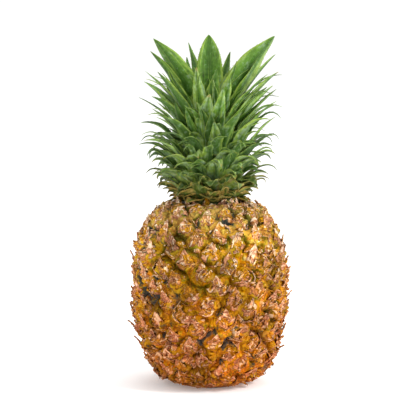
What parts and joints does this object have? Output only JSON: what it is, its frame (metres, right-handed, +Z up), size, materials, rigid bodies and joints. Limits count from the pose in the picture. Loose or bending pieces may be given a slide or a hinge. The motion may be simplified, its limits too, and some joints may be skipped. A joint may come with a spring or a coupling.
{
  "type": "whole pineapple",
  "caption": "Whole ripe fruit, egg-shaped and covered in raised eyes with papery bracts, standing on its cut stalk with a tuft of stiff pointed leaves on top.",
  "frame": {"origin": "centre of the stalk's cut end, on the flat spot that the fruit stands on", "axes": "+Z up along the fruit's core to the crown; -Y is the side that the picture shows, with +X to its right"},
  "size_m": [0.1233, 0.1212, 0.269],
  "materials": {
    "rind": "golden orange skin with pinkish tan eyes, olive green in places and papery grey bract tips, semi-matt",
    "cut_stalk": "dry fibrous cut end, matt",
    "leaf": "waxy green with a grey bloom and paler edges, satin"
  },
  "bodies": {
    "root": {"fruit": "rind", "stalk": "cut_stalk", "crown": "leaf"}
  },
  "joints": []
}
